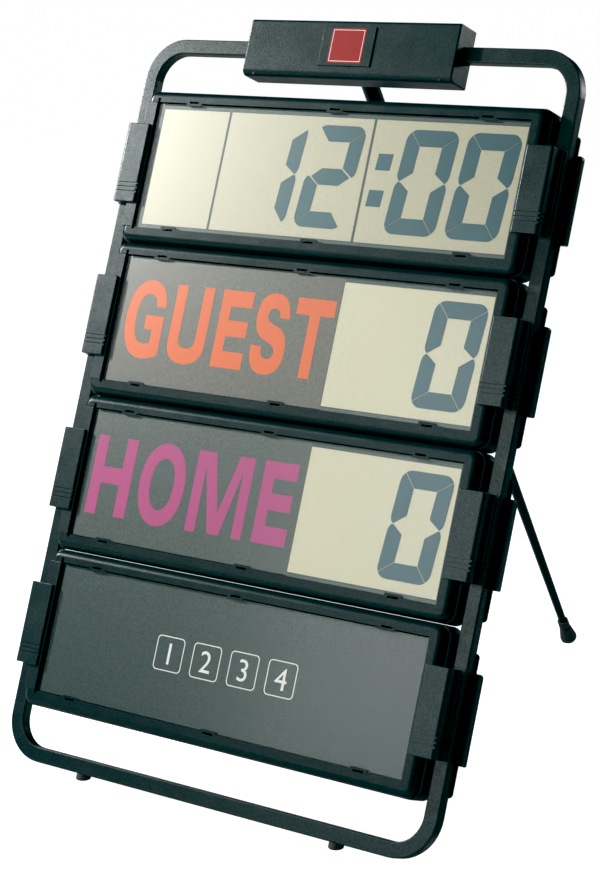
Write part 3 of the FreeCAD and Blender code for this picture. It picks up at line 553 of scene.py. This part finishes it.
def seg_c():
    p, q = cut((IR, BI), on(CBR, aBR), (201, -85))
    return [q] + arc(*CBR, RC, aBR + 3 - 360, 0, 8) + [(OR, -72.7), (OR - 0.5, -69.6), (OR - 1.8, -67.0), (TIPR + 0.7, -65.5),
                                                 (TIPR - 0.6, -65.7), (IR, -74.2), p]


def seg_g():
    # middle bar, as it meets the upper right and lower left verticals of a 2
    return [(IL + 1.2, -57.2), (IR - 1.2, -57.2)] + [(TIPR - 2.2, D_MID - 0.3), (IR - 0.4, -73.8)] \
        + [(IL + 0.9, -73.8), (TIPL + 3.0, D_MID - 0.6)]


def digit(bm, segs, delta):
    for s in segs:
        poly = [(u - delta + D_SL * (y - D_MID) + WIN_X, y) for u, y in s]
        prism(bm, [poly], -3.47, -3.34)


def digits_at(name, dy, draw):
    bm = bmesh.new()
    draw(bm)
    for v in bm.verts:
        v.co.y += dy
    return to_object(bm, name, M["segment"])


ZERO = [seg_a(), seg_b(), seg_c(), seg_d(), seg_e(), seg_f()]


def draw_clock(bm):
    digit(bm, ZERO, 0.0)
    digit(bm, ZERO, 68.2)
    # the 2 and the 1
    digit(bm, [seg_a(), seg_b(), seg_g(), seg_e(), seg_d()], 173.7)
    digit(bm, [seg_b(), seg_c()], 241.9)
    for x0, y1 in ((58.3, -39.5), (55.5, -75.3)):
        q = [(x0, y1), (x0 + 16.6, y1), (x0 + 15.4, y1 - 16.3), (x0 - 1.25, y1 - 16.3)]
        prism(bm, [[(x + WIN_X, y) for x, y in q]], -3.47, -3.34)


def draw_zero(bm):
    digit(bm, ZERO, 0.0)


digits_at("timer_segments", 0.0, draw_clock)
digits_at("guest_segments", -PITCH, draw_zero)
digits_at("home_segments", -2 * PITCH, draw_zero)


# ---------------------------------------------------------------- plain letters of the two score cards
def path(start, *steps, n=10):
    """Outline from straight steps (x, y) and cubic ones (c1x, c1y, c2x, c2y, x, y)."""
    pts = [start]
    for s in steps:
        if len(s) == 2:
            pts.append(s)
            continue
        p0 = pts[-1]
        c1, c2, p1 = s[0:2], s[2:4], s[4:6]
        for i in range(1, n + 1):
            t = i / n
            a, b, c, d = (1 - t) ** 3, 3 * t * (1 - t) ** 2, 3 * t * t * (1 - t), t ** 3
            pts.append((a * p0[0] + b * c1[0] + c * c2[0] + d * p1[0], a * p0[1] + b * c1[1] + c * c2[1] + d * p1[1]))
    if math.hypot(pts[0][0] - pts[-1][0], pts[0][1] - pts[-1][1]) < 0.05:
        pts.pop()
    return pts


def ellipse(cx, cy, rx, ry, k=0.6, n=12):
    """Squarish oval of four cubic quarters; k is how full its corners are."""
    return path((cx + rx, cy),
                (cx + rx, cy + ry * k, cx + rx * k, cy + ry, cx, cy + ry),
                (cx - rx * k, cy + ry, cx - rx, cy + ry * k, cx - rx, cy),
                (cx - rx, cy - ry * k, cx - rx * k, cy - ry, cx, cy - ry),
                (cx + rx * k, cy - ry, cx + rx, cy - ry * k, cx + rx, cy), n=n)


def letter_e(x0, x1, stem, tops, short=1.3):
    """E with three arms; tops is ((y0, y1), ...) from the top arm down."""
    (a0, a1), (b0, b1), (c0, c1) = tops
    return [(x0, a0), (x1, a0), (x1, a1), (x0 + stem, a1), (x0 + stem, b0), (x1 - short, b0), (x1 - short, b1),
            (x0 + stem, b1), (x0 + stem, c0), (x1, c0), (x1, c1), (x0, c1)]


G_ = path((-159.3, -210.9), (-160, -194, -169, -184, -181.5, -184), (-198.5, -184, -208, -199.5, -208, -224),
          (-208, -249.5, -197.5, -264.4, -180, -264.4), (-172, -264.4, -165, -262.6, -159.2, -259.3),
          (-159.2, -219.8), (-182.5, -219.8), (-182.5, -234.3), (-172, -234.3), (-172, -247.3),
          (-174.5, -248.5, -177.2, -249, -180.3, -249), (-190.5, -249, -195, -240.5, -195, -222.5),
          (-195, -206.5, -190, -198.3, -182, -198.3), (-175.8, -198.3, -171.8, -203.5, -171.3, -210.8))
U_ = path((-149, -185.7), (-149, -243), (-149, -257.5, -140, -264.9, -125.65, -264.9),
          (-111.3, -264.9, -102.3, -257.5, -102.3, -243), (-102.3, -185.7), (-115.1, -185.7), (-115.1, -239.5),
          (-115.1, -245.8, -119, -248.9, -125.65, -248.9), (-132.3, -248.9, -136.2, -245.8, -136.2, -239.5),
          (-136.2, -185.7))
S_ = path((-6.2, -208), (-7, -192.5, -13.5, -184.3, -26, -184.3), (-39, -184.3, -45.3, -192.5, -45.3, -207.5),
          (-45.3, -220, -41.5, -227.6, -30, -231.6), (-22.5, -234.2, -17.5, -236.5, -17.5, -242.3),
          (-17.5, -246.8, -20.8, -249.1, -25.5, -249.1), (-30.8, -249.1, -33.3, -244.5, -33.3, -237.5),
          (-46.2, -237), (-46.2, -255.5, -39.5, -264.8, -26, -264.8), (-12, -264.8, -5, -256, -5, -241),
          (-5, -227, -9, -219.8, -20, -216.2), (-27.5, -214, -32, -212, -32, -206),
          (-32, -201.5, -29, -199.1, -25, -199.1), (-20, -199.1, -17.9, -202.5, -17.6, -208.2))
E1_ = letter_e(-91.0, -53.2, 12.2, ((-185.7, -201.9), (-215.7, -231.7), (-246.8, -263.4)))
T_ = [(0.1, -185.7), (45.0, -185.7), (45.0, -201.9), (29.0, -201.9), (29.0, -263.4), (16.6, -263.4),
      (16.6, -201.9), (0.1, -201.9)]
H_ = [(-209.9, -346.4), (-196.1, -346.4), (-196.1, -377.5), (-172.3, -377.5), (-172.3, -346.4), (-157.9, -346.4),
      (-157.9, -426.4), (-172.3, -426.4), (-172.3, -394.2), (-196.1, -394.2), (-196.1, -426.4), (-209.9, -426.4)]
O_ = ellipse(-118.9, -386.5, 28.3, 41.5)
O_IN = ellipse(-118.85, -386.0, 14.55, 25.8)
M_ = [(-80.6, -346.4), (-59.0, -346.4), (-44.9, -404.6), (-30.0, -346.4), (-11.7, -346.4), (-11.7, -426.4),
      (-23.3, -426.4), (-23.3, -361.4), (-38.8, -425.8), (-52.8, -425.8), (-68.4, -361.4), (-68.4, -426.4),
      (-80.6, -426.4)]
E2_ = letter_e(0.6, 40.6, 13.3, ((-345.8, -362.4), (-376.4, -392.9), (-408.4, -425.8)))

INK0, INK1 = -3.49, -3.42
flat("guest_letters", [[G_], [U_], [E1_], [S_], [T_]], INK0, INK1, M["ink_orange"], dx=WIN_X)
flat("home_letters", [[H_], [O_, O_IN], [M_], [E2_]], INK0, INK1, M["ink_magenta"], dx=WIN_X)


# ---------------------------------------------------------------- period numbers of the lowest card
def text_piece(name, items, mat, body="board", thick=0.07, frame_fn=None):
    """Plain numerals and signs as thin solids: items is (text, x, y, size) about their middle."""
    bm = bmesh.new()
    for text, x, y, size in items:
        cu = bpy.data.curves.new(name + "_outline", "FONT")
        cu.body = text
        cu.size = size
        cu.align_x, cu.align_y = "CENTER", "CENTER"
        cu.resolution_u = 5
        cu.extrude = thick / 2
        tmp = bpy.data.objects.new(name + "_outline", cu)
        me = bpy.data.meshes.new_from_object(tmp)
        part = bmesh.new()
        part.from_mesh(me)
        bmesh.ops.remove_doubles(part, verts=part.verts[:], dist=0.001)
        xs = [v.co.x for v in part.verts]
        ys = [v.co.y for v in part.verts]
        ox, oy = (min(xs) + max(xs)) / 2, (min(ys) + max(ys)) / 2
        for v in part.verts:
            v.co.x += x - ox
            v.co.y += y - oy
            v.co.z += INK0 + thick / 2
        tmp_me = bpy.data.meshes.new(name + "_part")
        part.to_mesh(tmp_me)
        part.free()
        bm.from_mesh(tmp_me)
        bpy.data.objects.remove(tmp)
        bpy.data.curves.remove(cu)
        bpy.data.meshes.remove(me)
        bpy.data.meshes.remove(tmp_me)
    if frame_fn:
        frame_fn(bm)
    return to_object(bm, name, mat, body)


NUM_Y, NUM_S, NUM_GAP = -547.0, 34.0, 11.0
NUM_X = [1.5 + (i - 1.5) * (NUM_S + NUM_GAP) for i in range(4)]


def number_frames(bm):
    for cx in NUM_X:
        h = NUM_S / 2
        prism(bm, [rrect(cx - h, cx + h, NUM_Y - h, NUM_Y + h, 4.5),
                   rrect(cx - h + 1.0, cx + h - 1.0, NUM_Y - h + 1.0, NUM_Y + h - 1.0, 3.6)], INK0, INK0 + 0.07)


text_piece("period_numbers", [(str(i + 1), NUM_X[i], NUM_Y, 30.0) for i in range(4)], M["ink_pale"],
           frame_fn=number_frames)

# ---------------------------------------------------------------- blank label on the handle box
LX0, LX1, LY0, LY1 = -21.6, 18.6, 47.4, 82.6
flat("label_red_field", [[rrect(LX0, LX1, LY0, LY1, 1.2)]], -1.19, -1.02, M["label_red"])
flat("label_keyline", [[rrect(LX0 + 1.6, LX1 - 1.6, LY0 + 1.6, LY1 - 1.6, 0.9),
                        rrect(LX0 + 2.2, LX1 - 2.2, LY0 + 2.2, LY1 - 2.2, 0.6)]], -1.02, -0.97, M["ink_pale"])

# ---------------------------------------------------------------- surrounds of the liquid-crystal panels with a painted rim highlight, and black seals that also paint the shadow under each window's top edge
TAB_X = (-174.0, 0.5, 174.2)
SL0, SL1 = WIN_L + 0.3, WIN_R - 0.3
PY0, PY1 = -127.05, -6.35
TWO = 2.75


def surround(nm, dy, panels, x0):
    """Grey mask plate behind the lens, in two tones, with an opening for each panel; the lighter outer band is a
    painted highlight of the lens rim.
    """
    holes = [box_ring(a, b, PY0, PY1) for a, b in panels]
    full = box_ring(x0, SL1, -WIN_H + 0.35, -0.35)
    mid = box_ring(x0 + (TWO if x0 == SL0 else 0.0), SL1 - 1.2, -WIN_H + 0.35 + TWO, -0.35 - TWO)
    flat(nm + "_mask_inner", [[mid] + holes], -3.95, -3.54, M["surround_inner"], dy=dy)
    if x0 == SL0:
        flat(nm + "_mask_rim_highlight", [[full, mid]], -3.95, -3.50, M["surround_rim_highlight"], dy=dy)
    else:
        top = box_ring(x0, SL1, -0.35 - TWO, -0.35)
        bot = box_ring(x0, SL1, -WIN_H + 0.35, -WIN_H + 0.35 + TWO)
        rt = box_ring(SL1 - 1.2, SL1, -WIN_H + 0.35 + TWO, -0.35 - TWO)
        flat(nm + "_mask_rim_highlight", [[top], [bot], [rt]], -3.95, -3.50, M["surround_rim_highlight"], dy=dy)


surround("timer", 0.0, ((WIN_L + 6.0 - 0.05, -128.25), (-125.35, 47.35), (50.25, WIN_R - 2.95)), SL0)
surround("guest", -PITCH, ((51.3 + 0.6, WIN_R - 2.95),), 51.0)
surround("home", -2 * PITCH, ((51.3 + 0.6, WIN_R - 2.95),), 51.0)

# black seal along the top of each window, broken at the fingers; part seal, part painted shadow of the bezel's top
# edge on the lens
for i, nm in enumerate(MODS):
    dy = -i * PITCH
    runs, x = [], -217.9
    for tx in TAB_X:
        runs.append((x, tx - 9.6))
        x = tx + 9.6
    runs.append((x, WIN_R - 0.02))
    top = [[box_ring(a, b, -1.35, -0.02)] for a, b in runs]
    flat(nm + "_lens_seal_and_shadow", top, -1.19, -0.55, M["seal_and_shadow_black"], dy=dy)


# ---------------------------------------------------------------- stage and light
def stage_floor():
    bm = bmesh.new()
    prof = [(-8.0, 0.0), (60.0, 0.0)]
    for i in range(25):
        a = math.radians(90.0 * i / 24)
        prof.append((60.0 + 8.0 * math.sin(a), 8.0 - 8.0 * math.cos(a)))
    prof.append((68.0, 40.0))
    rows = []
    for x in (-70.0, 70.0):
        rows.append([bm.verts.new((x, y, z)) for y, z in prof])
    for i in range(len(prof) - 1):
        bm.faces.new((rows[0][i], rows[1][i], rows[1][i + 1], rows[0][i + 1]))
    me = bpy.data.meshes.new("stage_floor")
    bm.to_mesh(me)
    bm.free()
    me.shade_smooth()
    ob = bpy.data.objects.new("stage_floor", me)
    scene.collection.objects.link(ob)
    mt = Mat("stage_floor")
    mt.set(Base_Color=mt.mix(mt.noise(0.8, 3.0), (0.44, 0.44, 0.435), (0.47, 0.47, 0.465)), Roughness=0.9)
    lp = mt.node("ShaderNodeLightPath")
    mt.p.inputs["Emission Color"].default_value = (1.0, 1.0, 1.0, 1.0)
    mt.link(mt.math("MULTIPLY", lp.outputs["Is Camera Ray"], 0.99), mt.p.inputs["Emission Strength"])
    me.materials.append(mt.m)
    return ob


stage_floor()

world = bpy.data.worlds.new("studio")
scene.world = world
world.use_nodes = True
bg = world.node_tree.nodes["Background"]
bg.inputs["Color"].default_value = (0.86, 0.93, 1.0, 1.0)
bg.inputs["Strength"].default_value = 0.015


def softbox(name, at, look, size, power, col=(1, 1, 1), shape="RECTANGLE"):
    d = bpy.data.lights.new(name, "AREA")
    d.shape = shape
    d.size, d.size_y = size
    d.energy = power
    d.color = col
    o = bpy.data.objects.new(name, d)
    scene.collection.objects.link(o)
    o.location = at
    o.rotation_mode = "QUATERNION"
    o.rotation_quaternion = (Vector(look) - Vector(at)).to_track_quat("-Z", "Y")
    o.visible_camera = False
    return o


softbox("key_left", W(-2575, 627, 1500), W(-40, -250, 0), (0.26, 0.26), 124.0)
softbox("glow", W(-1320, 315, 900), W(-40, -250, 0), (0.80, 0.97), 3.6)
softbox("veil", W(-560, -370, 1500), W(-20, -390, 0), (0.70, 0.90), 5.8)
softbox("front_fill", W(800, 100, 2600), W(0, -330, 0), (1.6, 1.4), 3.0)
softbox("rim_right", Vector((0.80, 0.95, 0.95)), Vector((0.12, 0.0, 0.66)), (0.35, 0.5), 5.5)

scene.view_settings.view_transform = "Standard"
scene.view_settings.look = "None"
scene.view_settings.exposure = 0.0
scene.view_settings.gamma = 1.0
scene.view_settings.use_curve_mapping = True
scene.view_settings.curve_mapping.black_level = (0.012, 0.003, 0.003)
